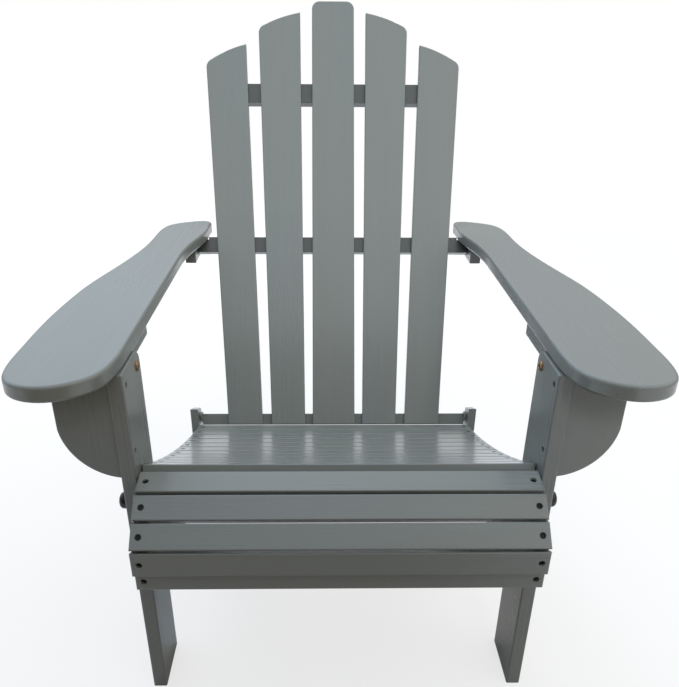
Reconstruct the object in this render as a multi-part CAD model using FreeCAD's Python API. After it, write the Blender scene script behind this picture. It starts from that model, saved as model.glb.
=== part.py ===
"""Folding adirondack chair in painted wood, in millimetres.

+X is the right side of the chair as seen from in front of it, +Y runs from the front of
the seat to the back, +Z is up. While the pieces are made, y = 0 is the front edge of the
front legs. They are written with the origin on the floor, under the middle of the whole
chair.
"""
import FreeCAD
import Part
import math
import os

Vector = FreeCAD.Vector

# ---- seat -----------------------------------------------------------------------------
SLAT_HALF = 248.0          # half the length of every seat slat
SLAT_THICK = 13.0
SLAT_GAP = 3.0             # between the sitting slats
SLAT_EASE = 1.5            # rounding of a seat slat's outer edges
TOP_SLATS = 11             # slats on the sitting surface
SLAT_SCREW_IN = 10.0       # a slat's screws, from its ends
SEAT_FRONT = (25.0, 368.2)     # the sitting surface is an arc through three (y, z)
SEAT_MIDDLE = (228.0, 271.5)
SEAT_REAR = (416.0, 207.0)
# The slats that wrap the waterfall front: upper end and lower end of the outer face, and
# how much narrower the slat is inside, at its upper and its lower edge.
NOSE_SLATS = [
    ((10.0, 367.6), (-26.5, 362.4), 0.0, 2.4),
    ((-30.2, 360.4), (-55.6, 340.8), 2.4, 0.4),
    ((-58.2, 338.8), (-82.4, 316.2), 0.4, 6.0),
    ((-82.4, 312.6), (-82.4, 278.2), 6.0, 0.0),
    ((-73.4, 276.2), (-73.4, 249.8), 0.0, 0.0),
]

# ---- side rails and ears ----------------------------------------------------------------
BOARD = 19.0               # thickness of legs, side rails, brackets and blocks
EASE = 2.0                 # rounding on the long edges of boards
STRINGER_FRONT = [(22.0, 244.0), (-58.0, 244.0)]
STRINGER_REAR = [(426.0, 186.0), (470.0, 166.0), (520.0, 134.0), (566.0, 92.0), (600.0, 50.0)]
REAR_FOOT = (556.0, 618.0)     # flat of the rear foot on the floor, along y
HEEL = 14.0                # upright end of the rear foot
EAR_THICK = 14.0
EAR_OUTLINE = [(416.0, 150.0), (416.0, 239.5), (446.0, 227.5), (456.0, 205.0),
               (462.0, 160.0), (450.0, 140.0)]
EAR_SCREWS = [(431.0, 168.0), (447.0, 154.0)]
EAR_HEAD_SINK = 4.2        # depth that the pivot bolt's head is let into the ear

# ---- back -------------------------------------------------------------------------------
LEAN = 28.5                # degrees from the vertical
BACK_FOOT = (419.0, 206.2)     # front of the slats' lower ends, as (y, z)
BACK_THICK = 12.0
BACK_PIVOT = (8.0, 16.0)   # (behind the slats' front face, up the slope)
ARM_PIVOT = (22.0, 333.0)
MIDDLE_SLAT = (38.8, 785.0)    # half width, top
MIDDLE_CORNER = 14.0
# For each side slat: the inner and outer edge at its foot, and its curved top as (x, up) at
# the inner corner, on the crown and at the outer corner.
SIDE_SLATS = [
    ((52.7, 114.4), ((61.0, 763.8), (98.0, 753.8), (137.8, 735.0))),
    ((131.0, 194.0), ((161.2, 704.6), (198.0, 691.4), (234.6, 669.6))),
]
SHOULDER = 15.0            # rounding of a side slat's outer top corner
BRACE_DEPTH = 20.0
LOWER_RAIL = (243.0, -0.5, 20.0)     # half length, lower edge, upper edge
ARM_BRACE = (231.5, 321.6, 349.6)
UPPER_BRACE = (224.0, 601.0, 636.0)
BRACE_EASE = 3.0
TENON_RADIUS = 14.2        # the arm brace's corners are turned down to this at its ends
TENON_END = 252.6
STRAP_THICK = 3.2
STRAP_RADIUS = 8.0
STRAP_PLATE = [(8.0, 8.0), (28.0, 4.0), (28.0, 18.0), (8.0, 24.0)]

# ---- arms -------------------------------------------------------------------------------
ARM_TOP = 523.0
ARM_THICK = 20.0
ARM_EASE = 4.0
# Outline of the right arm as (x, y): inner edge rearwards, rear end, outer edge forwards.
ARM_CURVE = [(253.5, 420.0), (251.0, 468.0), (246.0, 508.0), (239.5, 542.0), (234.8, 570.0),
             (232.6, 600.0), (232.6, 632.0), (236.0, 655.0), (250.0, 661.0), (270.0, 656.0),
             (290.0, 646.0), (307.0, 631.0), (317.0, 606.0), (320.5, 570.0), (321.5, 520.0),
             (325.5, 465.0), (334.5, 405.0), (347.5, 340.0), (361.0, 275.0), (370.5, 195.0),
             (375.0, 110.0), (374.5, 30.0), (371.5, -22.0), (361.0, -52.0), (343.0, -66.0),
             (318.0, -70.5), (294.0, -64.0), (273.0, -49.0), (259.5, -24.0), (254.5, 10.0),
             (253.5, 62.0)]
CLEAT = (30.0, 212.0, 36.0)          # front end, rear end, height
CLEAT_SCREWS = (110.0, 185.0)        # y
REAR_BLOCK = (560.0, 642.0, 34.5)
REAR_BLOCK_INNER = 253.0
REAR_BLOCK_SCREWS = (573.0, 618.0)

# ---- front legs -------------------------------------------------------------------------
LEG_INNER = 250.5          # inner face of the front leg
LEG_DEPTH = 85.0
LEG_PIVOT = (67.5, 484.8)  # leg to arm cleat
KNOB_AT = (32.0, 309.0)    # leg to side rail
BRACKET_BACK = 3.0         # the bracket stands this far behind the leg's front
BRACKET_WIDE = 68.2
BRACKET_CURVE = [(68.2, 430.0), (43.4, 382.0), (0.0, 361.8)]     # (out from the leg, z)
BRACKET_SCREWS = (485.3, 396.0)

# ---- fixings and clearances ---------------------------------------------------------------
RUN_GAP = 0.3              # between faces of bodies that move on each other
RUNNING = 0.1              # radial clearance at a pivot
SNUG = 0.03                # between a screw or bolt and its own hole
BOLT = 4.0                 # radii
SCREW_HEAD = 4.0
SCREW_SHANK = 2.0
SCREW_RECESS = 3.4         # depth of a screw's head below the surface
SCREW_HEAD_DEEP = 2.2
SCREW_LONG = 32.0
SLOT_LONG = 4.4            # cross slot in a screw's head
SLOT_WIDE = 0.9
SLOT_DEEP = 1.2
BOLT_HEAD = (6.5, 2.6, 1.6)          # radius, height, rounding: leg bolt
EAR_HEAD = (7.5, 4.0, 1.5)
BLOCK_HEAD = (7.5, 4.0, 2.0)
SOCKET = (2.4, 1.6)        # radius and depth of the key socket in the leg bolt
NUT = (7.0, 5.0)
INSERT = 5.0               # outer radius of the threaded sleeve for the knob
WASHER = (10.0, 1.6)
KNOB = (11.0, 16.5, 5.5)   # radius, reach from the leg, rounding

ARM_UNDER = ARM_TOP - ARM_THICK
LEG_OUTER = LEG_INNER + BOARD
EAR_OUTER = SLAT_HALF + EAR_THICK
SLOPE = math.radians(LEAN)
BACKWARD = Vector(0, math.cos(SLOPE), -math.sin(SLOPE))
ACROSS = Vector(1, 0, 0)
PIECES = {}


# ---- helpers --------------------------------------------------------------------------
def back_point(behind, up):
    """(y, z) of a point given in the back's own directions."""
    y = BACK_FOOT[0] + behind * math.cos(SLOPE) + up * math.sin(SLOPE)
    z = BACK_FOOT[1] - behind * math.sin(SLOPE) + up * math.cos(SLOPE)
    return y, z


def box(x0, x1, y0, y1, z0, z1):
    return Part.makeBox(x1 - x0, y1 - y0, z1 - z0, Vector(x0, y0, z0))


def side_prism(points, x0, x1):
    """Board whose outline is given as (y, z), running from x0 to x1."""
    ring = [Vector(x0, y, z) for y, z in points]
    face = Part.Face(Part.makePolygon(ring + ring[:1]))
    return face.extrude(Vector(x1 - x0, 0, 0))


def rod(radius, x0, x1, at):
    """Round bar along x through (y, z)."""
    return Part.makeCylinder(radius, x1 - x0, Vector(x0, at[0], at[1]), ACROSS)


def ease(shape, radius, keep):
    """Round the straight edges that keep(edge) accepts."""
    edges = [e for e in shape.Edges if keep(e)]
    return shape.makeFillet(radius, edges)


def along(edge, axis):
    first = edge.valueAt(edge.FirstParameter)
    last = edge.valueAt(edge.LastParameter)
    way = last.sub(first)
    return way.Length > 1e-6 and abs(way.dot(axis)) / way.Length > 0.999


def bolt_head(size, base, way, at):
    """Low round head that stands on the plane x = base, outwards in the direction way."""
    radius, tall, rounding = size
    top = base + way * tall
    head = rod(radius, min(base, top), max(base, top), at)
    return ease(head, rounding, lambda e: abs(e.CenterOfMass.x - top) < 0.1)


def mirrored(shape):
    return shape.mirror(Vector(0, 0, 0), ACROSS)


def group(solids):
    return Part.makeCompound(solids)


def screw(surface, into, length=SCREW_LONG, recess=SCREW_RECESS):
    """Countersunk wood screw with a cross slot, and the hole it sits in."""
    way = Vector(into)
    way.normalize()
    top = surface + way * recess
    head = Part.makeCylinder(SCREW_HEAD - SNUG, SCREW_HEAD_DEEP, top, way)
    shank = Part.makeCylinder(SCREW_SHANK - SNUG, length, top, way)
    long, wide = SLOT_LONG / 2, SLOT_WIDE / 2
    slots = [Part.makeBox(SLOT_LONG, SLOT_WIDE, SLOT_DEEP, Vector(-long, -wide, 0)),
             Part.makeBox(SLOT_WIDE, SLOT_LONG, SLOT_DEEP, Vector(-wide, -long, 0))]
    turn = FreeCAD.Rotation(Vector(0, 0, 1), way)
    body = head.fuse(shank)
    for slot in slots:
        slot.Placement = FreeCAD.Placement(top, turn)
        body = body.cut(slot)
    start = surface - way
    bore = Part.makeCylinder(SCREW_HEAD, recess + SCREW_HEAD_DEEP + 1.0, start, way)
    hole = bore.fuse(Part.makeCylinder(SCREW_SHANK, length + recess + 1.2, start, way))
    return body, hole


def save(name, shape):
    PIECES[name] = shape


def save_pair(pieces):
    """Save right-hand pieces and their mirror images."""
    for name, shape in pieces.items():
        save("right_" + name, shape)
        save("left_" + name, mirrored(shape))


def write_pieces():
    """Write every piece with the origin on the floor under the middle of the chair."""
    whole = FreeCAD.BoundBox()
    for shape in PIECES.values():
        whole.add(shape.optimalBoundingBox())
    middle = (whole.YMin + whole.YMax) / 2
    print("middle of the chair at y = %.2f, size %.1f x %.1f x %.1f"
          % (middle, whole.XLength, whole.YLength, whole.ZLength))
    for name, shape in PIECES.items():
        shape.translate(Vector(0, -middle, 0))
        shape.exportStep("parts/" + name + ".step")


# ---- seat frame -------------------------------------------------------------------------
def top_faces():
    """Outer faces of the sitting slats, front one first, laid along the hollow of the seat."""
    ends = [Vector(0, y, z) for y, z in (SEAT_FRONT, SEAT_MIDDLE, SEAT_REAR)]
    hollow = Part.Arc(*ends).toShape()
    pitch = (hollow.Length + SLAT_GAP) / TOP_SLATS
    faces = []
    for i in range(TOP_SLATS):
        rear = min(i * pitch + pitch - SLAT_GAP, hollow.Length)
        a = hollow.valueAt(hollow.Curve.parameterAtDistance(rear, hollow.FirstParameter))
        b = hollow.valueAt(hollow.Curve.parameterAtDistance(i * pitch, hollow.FirstParameter))
        faces.append(((a.y, a.z), (b.y, b.z), 0.0, 0.0))
    return faces


def inner_ends(face):
    """Ends of a slat's inner face, rear or upper one first, and its inward direction."""
    (ya, za), (yb, zb), splay_a, splay_b = face
    run = Vector(0, yb - ya, zb - za).normalize()
    inward = Vector(0, -run.z, run.y)
    rear = Vector(0, ya, za) + inward * SLAT_THICK + run * splay_a
    front = Vector(0, yb, zb) + inward * SLAT_THICK - run * splay_b
    return rear, front, inward


def seat_slat(face):
    """One slat, its two screws and their holes."""
    rear, front, inward = inner_ends(face)
    outline = [face[0], face[1], (front.y, front.z), (rear.y, rear.z)]
    board = side_prism(outline, -SLAT_HALF, SLAT_HALF)
    middle = Vector(0, (face[0][0] + face[1][0]) / 2, (face[0][1] + face[1][1]) / 2)
    board = ease(board, SLAT_EASE, lambda e: (e.CenterOfMass - middle).dot(inward) < 0.5)
    screws = []
    holes = []
    for side in (-1, 1):
        at = Vector(side * (SLAT_HALF - SLAT_SCREW_IN), middle.y, middle.z)
        body, hole = screw(at, inward)
        screws.append(body)
        holes.append(hole)
        board = board.cut(hole)
    return board, screws, holes


def stringer(faces, holes):
    """Side rail: its top carries the slats and its rear end is the rear foot."""
    points = []
    for face in faces:
        rear, front, inward = inner_ends(face)
        points += [(front.y, front.z), (rear.y, rear.z)]
    outline = [(REAR_FOOT[0], 0.0)] + STRINGER_FRONT + points + STRINGER_REAR
    outline += [(REAR_FOOT[1], HEEL), (REAR_FOOT[1], 0.0)]
    rail = side_prism(outline, SLAT_HALF - BOARD, SLAT_HALF)
    for hole in holes + [ear_screw(at)[1] for at in EAR_SCREWS]:
        rail = rail.cut(hole)
    return rail.cut(rod(INSERT, SLAT_HALF - BOARD - 1, SLAT_HALF + 1, KNOB_AT))


def ear_screw(at):
    surface = Vector(EAR_OUTER, at[0], at[1])
    return screw(surface, ACROSS * -1, length=24.0, recess=1.0)


def ear():
    """Upright block on the side rail's outer face that carries the back's pivot bolt."""
    block = side_prism(EAR_OUTLINE, SLAT_HALF, EAR_OUTER)
    block = ease(block, 1.5, lambda e: e.CenterOfMass.x > EAR_OUTER - 0.1)
    at = back_point(*BACK_PIVOT)
    block = block.cut(rod(BOLT, SLAT_HALF - 1, EAR_OUTER + 1, at))
    block = block.cut(rod(EAR_HEAD[0] + SNUG, EAR_OUTER - EAR_HEAD_SINK, EAR_OUTER + 1, at))
    for at in EAR_SCREWS:
        block = block.cut(ear_screw(at)[1])
    return block


def pivot_bolt():
    """Bolt through the ear and the back's hinge strap, its head let into the ear."""
    at = back_point(*BACK_PIVOT)
    seat = EAR_OUTER - EAR_HEAD_SINK
    shank = rod(BOLT - SNUG, SLAT_HALF - 4.6, seat + 1, at)
    return shank.fuse(bolt_head(EAR_HEAD, seat, 1, at))


def knob_insert():
    """Threaded sleeve in the side rail."""
    sleeve = rod(INSERT - SNUG, SLAT_HALF - BOARD, SLAT_HALF, KNOB_AT)
    return sleeve.cut(rod(BOLT, SLAT_HALF - BOARD - 1, SLAT_HALF + 1, KNOB_AT))


def make_seat():
    top = top_faces()
    screws = {"top": [], "nose": []}
    right_holes = []
    named = [("seat_slat_%02d" % (i + 1), "top", face) for i, face in enumerate(top)]
    named += [("nose_slat_%d" % (i + 1), "nose", face) for i, face in enumerate(NOSE_SLATS)]
    for name, place, face in named:
        board, pair, holes = seat_slat(face)
        save(name, board)
        screws[place] += pair
        right_holes.append(holes[1])
    save_pair({"stringer": stringer(NOSE_SLATS[::-1] + top, right_holes), "back_ear": ear()})
    save("seat_top_screws", group(screws["top"]))
    save("seat_nose_screws", group(screws["nose"]))
    fixing = [ear_screw(at)[0] for at in EAR_SCREWS]
    save("ear_screws", group(fixing + [mirrored(s) for s in fixing]))
    save("knob_inserts", group([knob_insert(), mirrored(knob_insert())]))
    save("back_pivot_bolts", group([pivot_bolt(), mirrored(pivot_bolt())]))


# ---- back -------------------------------------------------------------------------------
def back_vector(x, up, behind=0.0):
    return Vector(x, *back_point(behind, up))


def back_board(points, behind, deep):
    """Board lying in the back, its outline given as (x, up the slope)."""
    ring = [back_vector(x, up, behind) for x, up in points]
    face = Part.Face(Part.makePolygon(ring + ring[:1]))
    return face.extrude(BACKWARD * deep)


def round_corner(board, x, up, radius):
    """Round the corner of a back slat that stands across its thickness at (x, up)."""
    corner = back_vector(x, up, BACK_THICK / 2)
    edges = [e for e in board.Edges if (e.CenterOfMass - corner).Length < 0.5]
    return board.makeFillet(radius, edges)


def ease_faces(board):
    """Round every edge of a back slat's front and rear faces."""
    foot = back_vector(0, 0)

    def on_face(edge):
        depth = (edge.CenterOfMass - foot).dot(BACKWARD)
        return depth < 0.01 or depth > BACK_THICK - 0.01
    return ease(board, EASE, on_face)


def middle_slat():
    half, top = MIDDLE_SLAT
    board = back_board([(-half, 0), (half, 0), (half, top), (-half, top)], 0, BACK_THICK)
    board = round_corner(board, half, top, MIDDLE_CORNER)
    board = round_corner(board, -half, top, MIDDLE_CORNER)
    return ease_faces(board)


def side_slat(foot, crown):
    """Tapered slat whose top is an arc from the inner corner over the crown to the outer."""
    inner, peak, outer = [back_vector(x, up) for x, up in crown]
    feet = [back_vector(foot[0], 0), back_vector(foot[1], 0)]
    edges = [Part.makeLine(feet[0], feet[1]), Part.makeLine(feet[1], outer),
             Part.Arc(outer, peak, inner).toShape(), Part.makeLine(inner, feet[0])]
    board = Part.Face(Part.Wire(edges)).extrude(BACKWARD * BACK_THICK)
    return ease_faces(round_corner(board, *crown[2], SHOULDER))


def cross_bar(size):
    half, low, high = size
    bar = back_board([(-half, low), (half, low), (half, high), (-half, high)],
                     BACK_THICK, BRACE_DEPTH)

    def rear_edge(edge):
        depth = (edge.CenterOfMass - back_vector(0, 0)).dot(BACKWARD)
        return along(edge, ACROSS) and depth > BACK_THICK + 1
    return ease(bar, BRACE_EASE, rear_edge)


def back_screws():
    """Screws driven from behind, through a cross bar into each slat, and their holes."""
    bodies = []
    holes = []
    centres = [(0.0, 0.0)]
    for foot, crown in SIDE_SLATS:
        lower = sum(foot) / 2
        upper = (crown[0][0] + crown[2][0]) / 2
        centres.append((lower, (upper - lower) / ((crown[0][1] + crown[2][1]) / 2)))
    for half, low, high in (LOWER_RAIL, ARM_BRACE, UPPER_BRACE):
        up = (low + high) / 2
        for centre, spread in centres:
            for side in ((-1, 1) if centre else (1,)):
                at = back_vector(side * (centre + spread * up), up, BACK_THICK + BRACE_DEPTH)
                body, hole = screw(at, BACKWARD * -1, length=25.0, recess=1.0)
                bodies.append(body)
                holes.append(hole)
    return bodies, holes


def arm_brace():
    """Cross bar whose ends carry the arms: turned down there, and bored for a bolt."""
    half, low, high = ARM_BRACE
    at = back_point(*ARM_PIVOT)
    end = back_board([(half - 1, low), (TENON_END, low), (TENON_END, high), (half - 1, high)],
                     BACK_THICK, BRACE_DEPTH)
    end = end.common(rod(TENON_RADIUS, half - 2, TENON_END + 1, at))
    brace = cross_bar(ARM_BRACE).fuse(end).fuse(mirrored(end))
    bore = rod(BOLT + RUNNING, TENON_END - 33.0, TENON_END + 1, at)
    return brace.cut(bore).cut(mirrored(bore))


def hinge_strap():
    """Steel plate on the end of the lower rail, reaching forward to the pivot."""
    at = back_point(*BACK_PIVOT)
    rail_end = LOWER_RAIL[0]
    plate = rod(STRAP_RADIUS, rail_end, rail_end + STRAP_THICK, at)
    low = [back_point(*p) for p in STRAP_PLATE]
    plate = plate.fuse(side_prism(low, rail_end, rail_end + STRAP_THICK)).removeSplitter()
    return plate.cut(rod(BOLT + RUNNING, rail_end - 1, rail_end + STRAP_THICK + 1, at))


def make_back():
    bodies, holes = back_screws()

    def bored(shape):
        for hole in holes:
            if shape.BoundBox.intersect(hole.BoundBox):
                shape = shape.cut(hole)
        return shape
    save("back_slat_3", bored(middle_slat()))
    for i, (foot, crown) in enumerate(SIDE_SLATS):
        board = side_slat(foot, crown)
        save("back_slat_%d" % (4 + i), bored(board))
        save("back_slat_%d" % (2 - i), bored(mirrored(board)))
    save("back_lower_rail", bored(cross_bar(LOWER_RAIL)))
    save("back_upper_brace", bored(cross_bar(UPPER_BRACE)))
    save("back_arm_brace", bored(arm_brace()))
    save("back_screws", group(bodies))
    save("back_hinge_straps", group([hinge_strap(), mirrored(hinge_strap())]))


# ---- arms -------------------------------------------------------------------------------
def arm_board():
    path = Part.BSplineCurve()
    points = [Vector(x, y, ARM_UNDER) for x, y in ARM_CURVE]
    path.interpolate(Points=points, InitialTangent=Vector(0, 1, 0),
                     FinalTangent=Vector(0, 1, 0))
    inner = Part.makeLine(points[-1], points[0])
    board = Part.Face(Part.Wire([inner, path.toShape()])).extrude(Vector(0, 0, ARM_THICK))
    return ease(board, ARM_EASE, lambda e: e.BoundBox.ZLength < 0.01)


def under_arm(size, inner, thick, rounding):
    """Block fixed under the arm, and the height of its lower face."""
    front, rear, tall = size
    low = ARM_UNDER - tall
    block = box(inner, inner + thick, front, rear, low, ARM_UNDER)
    return ease(block, rounding, lambda e: e.CenterOfMass.z < low + 0.1), low


def make_arm():
    """Right arm with the cleat that the leg pivots in and the block at its rear."""
    arm = arm_board()
    cleat_inner = LEG_OUTER + RUN_GAP
    cleat, cleat_low = under_arm(CLEAT, cleat_inner, BOARD + 1, 3.0)
    cleat = cleat.cut(rod(BOLT + RUNNING, cleat_inner - 1, cleat_inner + BOARD + 5, LEG_PIVOT))
    block, block_low = under_arm(REAR_BLOCK, REAR_BLOCK_INNER, BOARD, 2.0)
    block_outer = REAR_BLOCK_INNER + BOARD
    at = back_point(*ARM_PIVOT)
    block = block.cut(rod(BOLT, REAR_BLOCK_INNER - 1, block_outer + 1, at))
    bolt = rod(BOLT - SNUG, TENON_END - 31.0, block_outer + 1, at)
    bolt = bolt.fuse(bolt_head(BLOCK_HEAD, block_outer, 1, at))
    places = [(cleat_inner + BOARD / 2, y, cleat_low) for y in CLEAT_SCREWS]
    places += [(REAR_BLOCK_INNER + BOARD / 2, y, block_low) for y in REAR_BLOCK_SCREWS]
    screws = []
    for x, y, low in places:
        length = ARM_UNDER - low + 10.0
        body, hole = screw(Vector(x, y, low), (0, 0, 1), length=length, recess=2.0)
        screws.append(body)
        cleat, block, arm = [shape.cut(hole) for shape in (cleat, block, arm)]
    return {"arm": arm, "arm_cleat": cleat, "arm_rear_block": block,
            "arm_rear_bolt": bolt, "arm_screws": group(screws)}


# ---- legs -------------------------------------------------------------------------------
def leg_board():
    """Upright board, its rear top corner rounded about the leg's pivot."""
    top = ARM_UNDER - RUN_GAP
    leg = box(LEG_INNER, LEG_OUTER, 0, LEG_DEPTH, 0, top)
    crown = LEG_DEPTH - LEG_PIVOT[0] - 0.1

    def rear_top(edge):
        middle = edge.CenterOfMass
        return along(edge, ACROSS) and middle.z > top - 1 and middle.y > LEG_DEPTH - 1
    leg = ease(leg, crown, rear_top)
    return ease(leg, EASE, lambda e: along(e, Vector(0, 0, 1)))


def bracket_board():
    """Quarter-round gusset that carries the arm's wide front."""
    top = ARM_UNDER - RUN_GAP
    outer, belly, foot = [Vector(LEG_OUTER + x, BRACKET_BACK, z) for x, z in BRACKET_CURVE]
    inner_top = Vector(LEG_OUTER, BRACKET_BACK, top)
    outer_top = Vector(LEG_OUTER + BRACKET_WIDE, BRACKET_BACK, top)
    edges = [Part.makeLine(inner_top, outer_top), Part.makeLine(outer_top, outer),
             Part.Arc(outer, belly, foot).toShape(), Part.makeLine(foot, inner_top)]
    board = Part.Face(Part.Wire(edges)).extrude(Vector(0, BOARD, 0))

    def outer_rim(edge):
        middle = edge.CenterOfMass
        flat = edge.BoundBox.YLength < 0.01
        return flat and middle.x > LEG_OUTER + 1 and middle.z < top - 1
    return ease(board, EASE, outer_rim)


def leg_bolt():
    """Bolt from the leg's inner face through the arm's cleat, with its nut."""
    bolt_end = LEG_OUTER + RUN_GAP + BOARD + 1
    radius, thick = NUT
    bolt = rod(BOLT - SNUG, LEG_INNER - 1, bolt_end + 6.0, LEG_PIVOT)
    bolt = bolt.fuse(bolt_head(BOLT_HEAD, LEG_INNER, -1, LEG_PIVOT))
    bolt = bolt.fuse(rod(radius, bolt_end + RUN_GAP, bolt_end + thick, LEG_PIVOT))
    radius, deep = SOCKET
    face = LEG_INNER - BOLT_HEAD[1]
    return bolt.cut(rod(radius, face - 1, face + deep, LEG_PIVOT))


def knob():
    """Hand knob with its own bolt, which ends flush with the leg's inner face."""
    radius, reach, rounding = KNOB
    foot = LEG_OUTER + WASHER[1]
    grip = bolt_head((radius, reach - WASHER[1], rounding), foot, 1, KNOB_AT)
    return grip.fuse(rod(BOLT - SNUG, LEG_INNER, foot + 1, KNOB_AT))


def make_leg():
    """Right front leg with its bracket, arm bolt and knob."""
    leg = leg_board()
    bracket = bracket_board()
    screws = []
    for height in BRACKET_SCREWS:
        at = Vector(LEG_INNER, BRACKET_BACK + BOARD / 2, height)
        body, hole = screw(at, ACROSS, length=36.0, recess=2.0)
        screws.append(body)
        leg, bracket = [shape.cut(hole) for shape in (leg, bracket)]
    for at in (LEG_PIVOT, KNOB_AT):
        leg = leg.cut(rod(BOLT, LEG_INNER - 1, LEG_OUTER + 1, at))
    radius, thick = WASHER
    washer = rod(radius, LEG_OUTER, LEG_OUTER + thick, KNOB_AT)
    washer = washer.cut(rod(BOLT + RUNNING, LEG_OUTER - 1, LEG_OUTER + thick + 1, KNOB_AT))
    return {"leg": leg, "bracket": bracket, "bracket_screws": group(screws),
            "leg_bolt": leg_bolt(), "knob": knob(), "knob_washer": washer}


def main():
    os.makedirs("parts", exist_ok=True)
    make_seat()
    make_back()
    save_pair(make_arm())
    save_pair(make_leg())
    write_pieces()


if __name__ == "__main__":
    main()
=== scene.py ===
import math

import bpy
from mathutils import Matrix, Vector


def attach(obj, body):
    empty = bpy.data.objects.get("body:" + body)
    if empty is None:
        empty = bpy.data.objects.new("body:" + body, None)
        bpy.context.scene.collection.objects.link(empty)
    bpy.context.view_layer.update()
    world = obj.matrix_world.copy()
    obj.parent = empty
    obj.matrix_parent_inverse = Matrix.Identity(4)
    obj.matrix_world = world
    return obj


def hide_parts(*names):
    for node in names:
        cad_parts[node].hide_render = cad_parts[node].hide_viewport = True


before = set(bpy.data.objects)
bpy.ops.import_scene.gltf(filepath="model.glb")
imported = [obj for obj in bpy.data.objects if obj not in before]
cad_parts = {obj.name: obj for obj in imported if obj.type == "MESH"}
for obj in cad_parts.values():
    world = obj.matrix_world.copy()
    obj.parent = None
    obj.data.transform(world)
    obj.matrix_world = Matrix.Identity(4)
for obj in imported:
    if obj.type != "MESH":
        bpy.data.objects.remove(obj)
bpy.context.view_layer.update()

# ---------------------------------------------------------------- values, in metres and degrees

BACK_LEAN = 28.5          # the back slats' slope behind the upright

CAMERA_PLACE = (-0.024013, -1.10440, 0.853087)
CAMERA_PITCH = 28.473     # below the horizon
CAMERA_YAW = 1.136        # to the right of +Y
CAMERA_ROLL = -0.438
CAMERA_SENSOR = 36.0      # width in mm
CAMERA_LENS = 38.07       # mm
CAMERA_SHIFT = (0.00926, 0.10784)

FLOOR_RADIUS = 30.0
FLOOR_SIDES = 96
FLOOR_COLOUR = (0.86, 0.86, 0.86)
FLOOR_FADE = (0.6, 3.0)   # the floor passes into the white of the backdrop between these distances
FLOOR_GLOW = 0.72         # share of the floor's light that is its own, so that it stays pale

# The world's light, by the direction it comes from.
SKY_HEIGHT = (-0.05, 0.60)    # it brightens between these heights
SKY_LEVEL = (0.09, 0.97)      # how bright it is below and above them
SKY_FRONT = (0.55, 1.28)      # how bright the front half is on the left and on the right
SKY_FRONT_TURN = (-0.9, 0.9)  # and between which places across it changes
SKY_BEHIND = (1.65, 0.95)     # the same for the rear half
SKY_BEHIND_TURN = (-0.7, 0.5)
SKY_HALVES = (-0.3, 0.4)      # where the front half passes into the rear half
SKY_LOW = (1.10, 1.00, 0.90)  # its colour from below, from the left and from the right
SKY_LEFT = (0.80, 0.97, 1.18)
SKY_RIGHT = (1.02, 1.00, 0.96)
SKY_TINT_HEIGHT = (-0.2, 0.5)
SKY_TINT_TURN = (-0.7, 0.7)

# Softboxes: place, the point they face, size, power, colour.
SOFTBOXES = {
    "overhead": ((0.1, 0.4, 2.6), (0.0, -0.1, 0.4), (1.8, 1.4), 4.0, (0.99, 1.0, 0.99)),
    "rear": ((-0.9, 2.8, 1.3), (0.0, 0.1, 0.3), (1.6, 1.2), 34.0, (0.97, 1.0, 1.02)),
    "front": ((0.1, -3.0, 2.6), (0.0, 0.25, 0.7), (1.8, 0.8), 60.0, (0.98, 1.0, 1.0)),
}

# The card behind the camera that shades the nose of the seat from the front softbox.
CARD_X = (-1.20, 0.38)
CARD_Z = (0.0, 1.30)
CARD_Y = -1.25
CARD_COLOUR = (0.34, 0.25, 0.15)

PAINT = (0.206, 0.224, 0.214)
PAINT_COOL = (0.985, 1.0, 1.02)   # the paint drifts between these tints of its colour
PAINT_WARM = (1.015, 1.0, 0.98)
BOARD_SPREAD = 0.012      # how much the boards differ from each other
BRACE_PAINTED_SHADE = 0.42         # painted shade: the two upper cross bars are painted darker than the boards, for the shadow that the back slats cast on them
PAINT_BUMP = 0.0004
PAINT_EDGE = 0.0016       # radius that the shading gives to sharp edges

# How finely each layer of the paint repeats, along the grain and across it.
GRAIN_RINGS = (2.2, 90.0, 90.0)
GRAIN_FIBRES = (14.0, 900.0, 900.0)
BRUSH_STROKES = (3.0, 210.0, 210.0)
PAINT_PATCHES = (2.0, 6.0, 6.0)
PAINT_SPECKS = 520.0

STEEL = (0.055, 0.055, 0.055)
STEEL_ROUGHNESS = 0.42
BRASS = (0.42, 0.27, 0.15)
BRASS_ROUGHNESS = 0.30
PLASTIC = ((0.010, 0.010, 0.011), (0.030, 0.030, 0.032))

SIDES = (("left", -1), ("right", 1))
TURN_STEPS = 72           # sides of a turned piece

# Bolts: head radius and height, key socket across flats and depth.
LEG_BOLT = (0.0065, 0.0026, 0.0040, 0.0016)
BLOCK_BOLT = (0.0075, 0.0040, 0.0050, 0.0024)
EAR_BOLT = (0.0075, 0.0040, 0.0050, 0.0024)
BOLT_RADIUS = 0.00397
NUT_FLATS = 0.0118
NUT_TALL = 0.0047
THREAD_END = 0.0010       # how far the leg bolt stands out of its nut

# Hand knob, from the washer outwards: distance, radius.
KNOB_SHAPE = [
    (0.0000, 0.0086), (0.0010, 0.0090), (0.0026, 0.0090), (0.0030, 0.0098), (0.0034, 0.0107),
    (0.0044, 0.0110), (0.0090, 0.0110), (0.0106, 0.0107), (0.0121, 0.0098), (0.0134, 0.0083),
    (0.0142, 0.0064), (0.0147, 0.0040), (0.0149, 0.0000),
]


# ---------------------------------------------------------------- node helpers


def nodes_of(name):
    """A new material, its node tree and its shader."""
    material = bpy.data.materials.new(name)
    material.use_nodes = True
    tree = material.node_tree
    shader = tree.nodes["Principled BSDF"]
    return material, tree, shader


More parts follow.
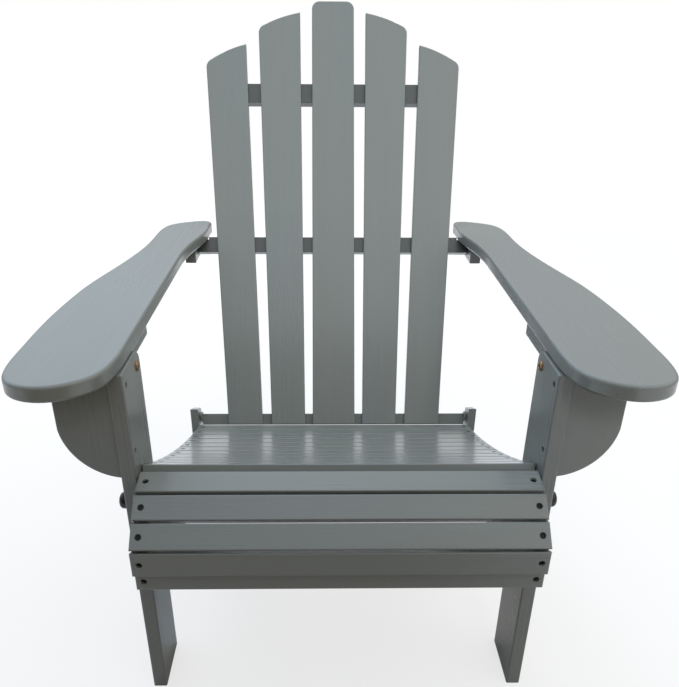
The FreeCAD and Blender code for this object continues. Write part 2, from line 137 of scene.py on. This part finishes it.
def add(tree, kind, **settings):
    """A new node; settings with a capital letter are inputs, the others are properties."""
    node = tree.nodes.new(kind)
    for key, value in settings.items():
        if key[0].isupper():
            node.inputs[key.replace("_", " ")].default_value = value
        else:
            setattr(node, key, value)
    return node


def math_node(tree, operation, first, second):
    node = add(tree, "ShaderNodeMath", operation=operation)
    for socket, value in zip(node.inputs, (first, second)):
        if isinstance(value, (int, float)):
            socket.default_value = value
        else:
            tree.links.new(value, socket)
    return node.outputs[0]


def ramp(tree, value, low, high, to_low=0.0, to_high=1.0):
    node = add(tree, "ShaderNodeMapRange", interpolation_type="SMOOTHSTEP")
    ends = {"From Min": low, "From Max": high, "To Min": to_low, "To Max": to_high}
    for socket, number in ends.items():
        node.inputs[socket].default_value = number
    tree.links.new(value, node.inputs["Value"])
    return node.outputs["Result"]


def noise(tree, vector, scale, detail=3.0, roughness=0.55, distortion=0.0):
    node = add(tree, "ShaderNodeTexNoise", Scale=scale, Detail=detail)
    node.inputs["Roughness"].default_value = roughness
    node.inputs["Distortion"].default_value = distortion
    tree.links.new(vector, node.inputs["Vector"])
    return node.outputs["Fac"]


def stretched(tree, vector, scales):
    node = add(tree, "ShaderNodeVectorMath", operation="MULTIPLY")
    tree.links.new(vector, node.inputs[0])
    node.inputs[1].default_value = scales
    return node.outputs[0]


# ---------------------------------------------------------------- materials


def painted_wood(name, along, seed, tone=1.0):
    """Satin paint over boards of softwood, whose grain runs in the direction along."""
    material, tree, shader = nodes_of(name)
    link = tree.links.new

    place = add(tree, "ShaderNodeTexCoord")
    turn = add(tree, "ShaderNodeMapping", vector_type="TEXTURE")
    direction = Vector(along).normalized()
    turn.inputs["Rotation"].default_value = direction.to_track_quat("X", "Z").to_euler()
    turn.inputs["Location"].default_value = (seed * 1.7, seed * 0.9, seed * 0.4)
    link(place.outputs["Object"], turn.inputs["Vector"])
    grain_space = turn.outputs[0]

    rings = noise(tree, stretched(tree, grain_space, GRAIN_RINGS), 1.0, 4.0, 0.6, 0.6)
    fibres = noise(tree, stretched(tree, grain_space, GRAIN_FIBRES), 1.0, 3.0, 0.6)
    strokes = noise(tree, stretched(tree, grain_space, BRUSH_STROKES), 1.0, 2.0)
    patches = noise(tree, stretched(tree, grain_space, PAINT_PATCHES), 1.0, 2.0)
    specks = noise(tree, grain_space, PAINT_SPECKS, 2.0)

    round_edge = add(tree, "ShaderNodeBevel", samples=6, Radius=PAINT_EDGE)
    surface = add(tree, "ShaderNodeNewGeometry")
    facing = add(tree, "ShaderNodeVectorMath", operation="DOT_PRODUCT")
    link(round_edge.outputs[0], facing.inputs[0])
    link(surface.outputs["Normal"], facing.inputs[1])
    # mask of the edges that the bevel shading rounds off, used for a painted highlight
    edge_highlight = ramp(tree, facing.outputs["Value"], 0.995, 0.85)

    cool = [tone * channel * tint for channel, tint in zip(PAINT, PAINT_COOL)]
    warm = [tone * channel * tint for channel, tint in zip(PAINT, PAINT_WARM)]
    hue = add(tree, "ShaderNodeMix", data_type="RGBA")
    hue.inputs["A"].default_value = (*cool, 1.0)
    hue.inputs["B"].default_value = (*warm, 1.0)
    link(ramp(tree, patches, 0.30, 0.70), hue.inputs["Factor"])

    shade = ramp(tree, rings, 0.3, 0.7, 0.985, 1.012)
    for layer in (specks, fibres):
        shade = math_node(tree, "ADD", shade, ramp(tree, layer, 0.3, 0.7, -0.012, 0.012))
    # painted highlight: the paint colour is lightened by a tenth along the edges, standing in for
    # gloss highlights there
    shade = math_node(tree, "ADD", shade, math_node(tree, "MULTIPLY", edge_highlight, 0.10))
    colour = add(tree, "ShaderNodeVectorMath", operation="SCALE")
    link(hue.outputs["Result"], colour.inputs[0])
    link(shade, colour.inputs["Scale"])
    link(colour.outputs[0], shader.inputs["Base Color"])

    gloss = ramp(tree, patches, 0.3, 0.7, 0.27, 0.33)
    gloss = math_node(tree, "ADD", gloss, ramp(tree, strokes, 0.3, 0.7, -0.02, 0.02))
    link(gloss, shader.inputs["Roughness"])

    height = math_node(tree, "MULTIPLY", rings, 0.60)
    for layer, share in ((strokes, 0.22), (fibres, 0.10)):
        height = math_node(tree, "ADD", height, math_node(tree, "MULTIPLY", layer, share))
    bump = add(tree, "ShaderNodeBump", Strength=0.11, Distance=PAINT_BUMP)
    link(height, bump.inputs["Height"])
    link(round_edge.outputs[0], bump.inputs["Normal"])
    link(bump.outputs[0], shader.inputs["Normal"])
    shader.inputs["Specular IOR Level"].default_value = 0.5
    shader.inputs["Coat Weight"].default_value = 0.35
    shader.inputs["Coat Roughness"].default_value = 0.13
    return material


def metal(name, colour, roughness, scratch=0.08):
    """Metal with darker patches and a fine grain."""
    material, tree, shader = nodes_of(name)
    link = tree.links.new
    place = add(tree, "ShaderNodeTexCoord")
    grain = noise(tree, place.outputs["Object"], 900.0, 4.0)
    patches = noise(tree, place.outputs["Object"], 160.0, 3.0)
    tint = add(tree, "ShaderNodeMix", data_type="RGBA")
    tint.inputs["A"].default_value = (*[channel * 0.55 for channel in colour], 1.0)
    tint.inputs["B"].default_value = (*colour, 1.0)
    link(ramp(tree, patches, 0.3, 0.6), tint.inputs["Factor"])
    link(tint.outputs["Result"], shader.inputs["Base Color"])
    rough = ramp(tree, grain, 0.2, 0.8, roughness - scratch, roughness + scratch)
    link(rough, shader.inputs["Roughness"])
    bump = add(tree, "ShaderNodeBump", Strength=0.2, Distance=0.0001)
    link(grain, bump.inputs["Height"])
    link(bump.outputs[0], shader.inputs["Normal"])
    shader.inputs["Metallic"].default_value = 1.0
    return material


def black_plastic(name):
    """Moulded plastic with scuffs."""
    material, tree, shader = nodes_of(name)
    link = tree.links.new
    place = add(tree, "ShaderNodeTexCoord")
    grain = noise(tree, place.outputs["Object"], 1500.0, 2.0)
    scuffs = noise(tree, place.outputs["Object"], 120.0, 4.0)
    tint = add(tree, "ShaderNodeMix", data_type="RGBA")
    for socket, colour in zip(("A", "B"), PLASTIC):
        tint.inputs[socket].default_value = (*colour, 1.0)
    link(ramp(tree, scuffs, 0.35, 0.7), tint.inputs["Factor"])
    link(tint.outputs["Result"], shader.inputs["Base Color"])
    link(ramp(tree, scuffs, 0.3, 0.7, 0.22, 0.40), shader.inputs["Roughness"])
    bump = add(tree, "ShaderNodeBump", Strength=0.15, Distance=0.0001)
    link(grain, bump.inputs["Height"])
    link(bump.outputs[0], shader.inputs["Normal"])
    return material


def dress(node, material):
    """Gives a CAD node its material, keeping its mesh as packed."""
    for material_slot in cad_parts[node].material_slots:
        material_slot.material = material


# ---------------------------------------------------------------- boards and fittings

UP_THE_BACK = (0.0, math.sin(math.radians(BACK_LEAN)), math.cos(math.radians(BACK_LEAN)))


def grain_of(node):
    """Which way a board's grain runs, from its name."""
    if "back_slat" in node:
        return UP_THE_BACK
    if "leg" in node or "bracket" in node:
        return (0.0, 0.0, 1.0)
    if "ear" in node:  # also the arms' rear blocks
        return UP_THE_BACK
    if "stringer" in node:
        return (0.0, 1.0, -0.45)
    if "arm" in node and "brace" not in node:
        return (0.0, 1.0, 0.0)
    return (1.0, 0.0, 0.0)


def side_span(node, side):
    """Axis (y, z) and inner and outer end of the turned piece that a CAD node has on one side."""
    points = [v.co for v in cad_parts[node].data.vertices if v.co.x * side > 0]
    inner, outer = (pick(abs(p.x) for p in points) for pick in (min, max))
    y, z = ((min(p[k] for p in points) + max(p[k] for p in points)) / 2 for k in (1, 2))
    return (y, z), inner, outer


def round_ring(distance, radius):
    """(distance along the axis, radius at each step round it)"""
    return distance, [radius] * TURN_STEPS


def hexagon_ring(distance, flats, limit=1.0):
    """Six-sided ring, its corners cut to the circle of radius limit."""
    radii = []
    for step in range(TURN_STEPS):
        turn = (2 * math.pi * step / TURN_STEPS) % (math.pi / 3) - math.pi / 6
        radii.append(min(flats / 2 / math.cos(turn), limit))
    return distance, radii


def turned(name, rings, axis, start, side, way):
    """Closed piece round an axis along X; its rings run from start in the direction way."""
    points = []
    for distance, radii in rings:
        x = side * (start + way * distance)
        for step, radius in enumerate(radii):
            turn = 2 * math.pi * step / TURN_STEPS
            points.append((x, axis[0] + radius * math.cos(turn), axis[1] + radius * math.sin(turn)))
    faces = []
    for ring in range(len(rings) - 1):
        low, high = ring * TURN_STEPS, (ring + 1) * TURN_STEPS
        for step in range(TURN_STEPS):
            after = (step + 1) % TURN_STEPS
            faces.append((low + step, low + after, high + after, high + step))
    first = list(range(TURN_STEPS))
    faces += [first[::-1], [(len(rings) - 1) * TURN_STEPS + step for step in first]]
    if side * way < 0:
        faces = [list(face)[::-1] for face in faces]
    mesh = bpy.data.meshes.new(name)
    mesh.from_pydata(points, [], faces)
    mesh.shade_smooth()
    mesh.set_sharp_from_angle(angle=math.radians(35.0))
    piece = bpy.data.objects.new(name, mesh)
    bpy.context.collection.objects.link(piece)
    return piece


def bolt_rings(size, length):
    """Button head with a hexagon socket, then the shank."""
    radius, tall, flats, deep = size
    rings = [hexagon_ring(deep, 0.2 * flats), hexagon_ring(deep, flats)]
    rings += [hexagon_ring(0.0002, flats), hexagon_ring(0.0, flats * 1.08)]
    rings.append(round_ring(0.0, 0.60 * radius))
    for step in range(1, 8):
        turn = math.pi / 2 * step / 7
        spread = radius * (0.60 + 0.40 * math.sin(turn))
        rings.append(round_ring(0.75 * tall * (1.0 - math.cos(turn)), spread))
    rings += [round_ring(tall, radius), round_ring(tall, BOLT_RADIUS)]
    rings += [round_ring(length - 0.0006, BOLT_RADIUS), round_ring(length, BOLT_RADIUS * 0.85)]
    return rings


def nut_rings():
    corner = NUT_FLATS / 2 * 1.10
    return [
        hexagon_ring(0.0, NUT_FLATS * 0.98, corner),
        hexagon_ring(0.0005, NUT_FLATS),
        hexagon_ring(NUT_TALL - 0.0005, NUT_FLATS),
        hexagon_ring(NUT_TALL, NUT_FLATS * 0.98, corner),
    ]


def finish_piece(piece, material, body):
    piece.data.materials.append(material)
    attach(piece, body)


def detailed_bolt(node, name, side, size, head_outside, body, brass):
    """A bolt in place of the plain one of a CAD node; returns its axis and its outer end."""
    axis, inner, outer = side_span(node, side)
    start, way = (outer, -1) if head_outside else (inner, 1)
    bolt = turned(name, bolt_rings(size, outer - inner), axis, start, side, way)
    finish_piece(bolt, brass, body)
    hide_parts(node)
    return axis, outer


def detailed_bolts(brass):
    """The bolts of the joints."""
    for name, side in SIDES:
        node, body = name + "_leg_bolt", name + "_leg"
        axis, outer = detailed_bolt(node, node + "_piece", side, LEG_BOLT, False, body, brass)
        nut_start = outer - THREAD_END - NUT_TALL
        nut = turned(node + "_nut", nut_rings(), axis, nut_start, side, 1)
        finish_piece(nut, brass, body)

        node = name + "_arm_rear_bolt"
        detailed_bolt(node, node + "_piece", side, BLOCK_BOLT, True, name + "_arm", brass)

        piece = name + "_back_pivot_piece"
        detailed_bolt("back_pivot_bolts", piece, side, EAR_BOLT, True, "seat_frame", brass)


def detailed_knobs(plastic, steel):
    """Hand knobs with a skirt and a domed cap, and their bolts."""
    for name, side in SIDES:
        node = name + "_knob"
        axis, inner, outer = side_span(node, side)
        foot = outer - KNOB_SHAPE[-1][0]
        rings = [round_ring(distance, max(radius, 0.0002)) for distance, radius in KNOB_SHAPE]
        knob = turned(node + "_piece", rings, axis, foot, side, 1)
        finish_piece(knob, plastic, name + "_leg")
        rings = [round_ring(0.0, BOLT_RADIUS * 0.9), round_ring(0.0004, BOLT_RADIUS)]
        rings.append(round_ring(foot - inner, BOLT_RADIUS))
        shank = turned(node + "_bolt", rings, axis, inner, side, 1)
        finish_piece(shank, steel, name + "_leg")
        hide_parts(node)


def dress_all():
    """Every node's material, and the detailed pieces."""
    steel = metal("dark_steel", STEEL, STEEL_ROUGHNESS)
    brass = metal("brass", BRASS, BRASS_ROUGHNESS)
    plastic = black_plastic("black_plastic")
    for seed, node in enumerate(sorted(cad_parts)):
        if node.endswith(("bolt", "bolts", "knob")):
            continue
        if "insert" in node:
            dress(node, brass)
        elif "screw" in node or "washer" in node:
            dress(node, steel)
        else:
            tone = 1.0 + BOARD_SPREAD * math.sin(seed * 2.4)
            if "brace" in node:
                # painted shade: the cross bars behind the back slats get a darker paint colour that
                # stands for the slats' shadow
                tone *= BRACE_PAINTED_SHADE
            dress(node, painted_wood("paint_" + node, grain_of(node), seed, tone))
    detailed_bolts(brass)
    detailed_knobs(plastic, steel)


# ---------------------------------------------------------------- stage


def pale_floor():
    """Round floor that fades into the backdrop; near the chair only the camera sees its glow."""
    ring = []
    for side in range(FLOOR_SIDES):
        turn = 2 * math.pi * side / FLOOR_SIDES
        ring.append((FLOOR_RADIUS * math.cos(turn), FLOOR_RADIUS * math.sin(turn), 0.0))
    mesh = bpy.data.meshes.new("floor")
    mesh.from_pydata(ring, [], [list(range(FLOOR_SIDES))])
    floor = bpy.data.objects.new("floor", mesh)
    bpy.context.collection.objects.link(floor)
    material, tree, shader = nodes_of("floor")
    link = tree.links.new
    shader.inputs["Base Color"].default_value = (*FLOOR_COLOUR, 1.0)
    shader.inputs["Roughness"].default_value = 0.9
    place = add(tree, "ShaderNodeTexCoord")
    distance = add(tree, "ShaderNodeVectorMath", operation="LENGTH")
    link(place.outputs["Object"], distance.inputs[0])
    white = add(tree, "ShaderNodeEmission", Strength=1.0)
    white.inputs["Color"].default_value = (1.0, 1.0, 1.0, 1.0)
    blend = add(tree, "ShaderNodeMixShader")
    seen = add(tree, "ShaderNodeLightPath")
    glow = math_node(tree, "MULTIPLY", seen.outputs["Is Camera Ray"], FLOOR_GLOW)
    far = ramp(tree, distance.outputs["Value"], *FLOOR_FADE)
    link(math_node(tree, "MAXIMUM", glow, far), blend.inputs["Fac"])
    link(shader.outputs[0], blend.inputs[1])
    link(white.outputs[0], blend.inputs[2])
    link(blend.outputs[0], tree.nodes["Material Output"].inputs["Surface"])
    floor.data.materials.append(material)
    floor.visible_diffuse = False


def softbox(name, place, target, size, power, colour):
    """Area light that shows in no reflection."""
    light = bpy.data.lights.new(name, "AREA")
    light.shape = "RECTANGLE"
    light.size, light.size_y = size
    light.energy = power
    light.color = colour
    lamp = bpy.data.objects.new(name, light)
    lamp.location = place
    aim = Vector(target) - Vector(place)
    lamp.rotation_mode = "QUATERNION"
    lamp.rotation_quaternion = aim.to_track_quat("-Z", "Y")
    lamp.visible_glossy = False
    bpy.context.collection.objects.link(lamp)


def dark_card():
    """Card behind the camera, never seen by it, that keeps the front of the seat darker."""
    (left, right), (low, high), y = CARD_X, CARD_Z, CARD_Y
    mesh = bpy.data.meshes.new("dark_card")
    corners = [(left, y, low), (right, y, low), (right, y, high), (left, y, high)]
    mesh.from_pydata(corners, [], [(0, 1, 2, 3)])
    card = bpy.data.objects.new("dark_card", mesh)
    bpy.context.collection.objects.link(card)
    material, tree, shader = nodes_of("dark_card")
    place = add(tree, "ShaderNodeTexCoord")
    weave = noise(tree, place.outputs["Object"], 60.0)
    tint = add(tree, "ShaderNodeMix", data_type="RGBA")
    tint.inputs["A"].default_value = (*[0.9 * channel for channel in CARD_COLOUR], 1.0)
    tint.inputs["B"].default_value = (*CARD_COLOUR, 1.0)
    tree.links.new(weave, tint.inputs["Factor"])
    tree.links.new(tint.outputs["Result"], shader.inputs["Base Color"])
    shader.inputs["Roughness"].default_value = 0.9
    card.data.materials.append(material)
    card.visible_camera = False


def by_camera(tree, kind, seen, otherwise, for_camera):
    """One value or colour for what the camera sees directly, and another for the light."""
    node = add(tree, "ShaderNodeMix", data_type=kind)
    node.inputs["B"].default_value = for_camera
    tree.links.new(seen, node.inputs["Factor"])
    tree.links.new(otherwise, node.inputs["A"])
    return node.outputs["Result"]


def sky_level(tree, across, depth, up):
    """How bright the world is in each direction."""
    level = ramp(tree, up, *SKY_HEIGHT, *SKY_LEVEL)
    sides = add(tree, "ShaderNodeMix", data_type="FLOAT")
    tree.links.new(ramp(tree, depth, *SKY_HALVES), sides.inputs["Factor"])
    tree.links.new(ramp(tree, across, *SKY_FRONT_TURN, *SKY_FRONT), sides.inputs["A"])
    tree.links.new(ramp(tree, across, *SKY_BEHIND_TURN, *SKY_BEHIND), sides.inputs["B"])
    return math_node(tree, "MULTIPLY", level, sides.outputs["Result"])


def sky_colour(tree, across, up):
    """Cool on the left, neutral on the right, warm from below."""
    tint = add(tree, "ShaderNodeMix", data_type="RGBA")
    tint.inputs["A"].default_value = (*SKY_LEFT, 1.0)
    tint.inputs["B"].default_value = (*SKY_RIGHT, 1.0)
    tree.links.new(ramp(tree, across, *SKY_TINT_TURN), tint.inputs["Factor"])
    height = add(tree, "ShaderNodeMix", data_type="RGBA")
    height.inputs["A"].default_value = (*SKY_LOW, 1.0)
    tree.links.new(ramp(tree, up, *SKY_TINT_HEIGHT), height.inputs["Factor"])
    tree.links.new(tint.outputs["Result"], height.inputs["B"])
    return height.outputs["Result"]


def studio():
    """White backdrop, a soft world light and three softboxes."""
    world = bpy.data.worlds.new("studio")
    bpy.context.scene.world = world
    world.use_nodes = True
    tree = world.node_tree
    background = tree.nodes["Background"]
    place = add(tree, "ShaderNodeTexCoord")
    parts = add(tree, "ShaderNodeSeparateXYZ")
    tree.links.new(place.outputs["Generated"], parts.inputs[0])
    across, depth, up = parts.outputs
    seen = add(tree, "ShaderNodeLightPath").outputs["Is Camera Ray"]
    colour = by_camera(tree, "RGBA", seen, sky_colour(tree, across, up), (1.0, 1.0, 1.0, 1.0))
    strength = by_camera(tree, "FLOAT", seen, sky_level(tree, across, depth, up), 1.0)
    tree.links.new(colour, background.inputs["Color"])
    tree.links.new(strength, background.inputs["Strength"])
    for name, settings in SOFTBOXES.items():
        softbox(name, *settings)


def camera():
    """Camera at the place and angles given above."""
    pitch, yaw, roll = (math.radians(angle) for angle in (CAMERA_PITCH, CAMERA_YAW, CAMERA_ROLL))
    level = math.cos(pitch)
    forward = Vector((math.sin(yaw) * level, math.cos(yaw) * level, -math.sin(pitch)))
    right = Vector((math.cos(yaw), -math.sin(yaw), 0.0))
    down = forward.cross(right)
    right, down = (
        math.cos(roll) * right + math.sin(roll) * down,
        math.cos(roll) * down - math.sin(roll) * right,
    )
    data = bpy.data.cameras.new("camera")
    data.sensor_fit = "HORIZONTAL"
    data.sensor_width = CAMERA_SENSOR
    data.lens = CAMERA_LENS
    data.shift_x, data.shift_y = CAMERA_SHIFT
    data.clip_start, data.clip_end = 0.05, 100.0
    eye = bpy.data.objects.new("camera", data)
    turn = Matrix((right, -down, -forward)).transposed()
    eye.matrix_world = Matrix.Translation(CAMERA_PLACE) @ turn.to_4x4()
    bpy.context.collection.objects.link(eye)
    bpy.context.scene.camera = eye


dress_all()
pale_floor()
dark_card()
studio()
camera()
bpy.context.scene.view_settings.view_transform = "Standard"
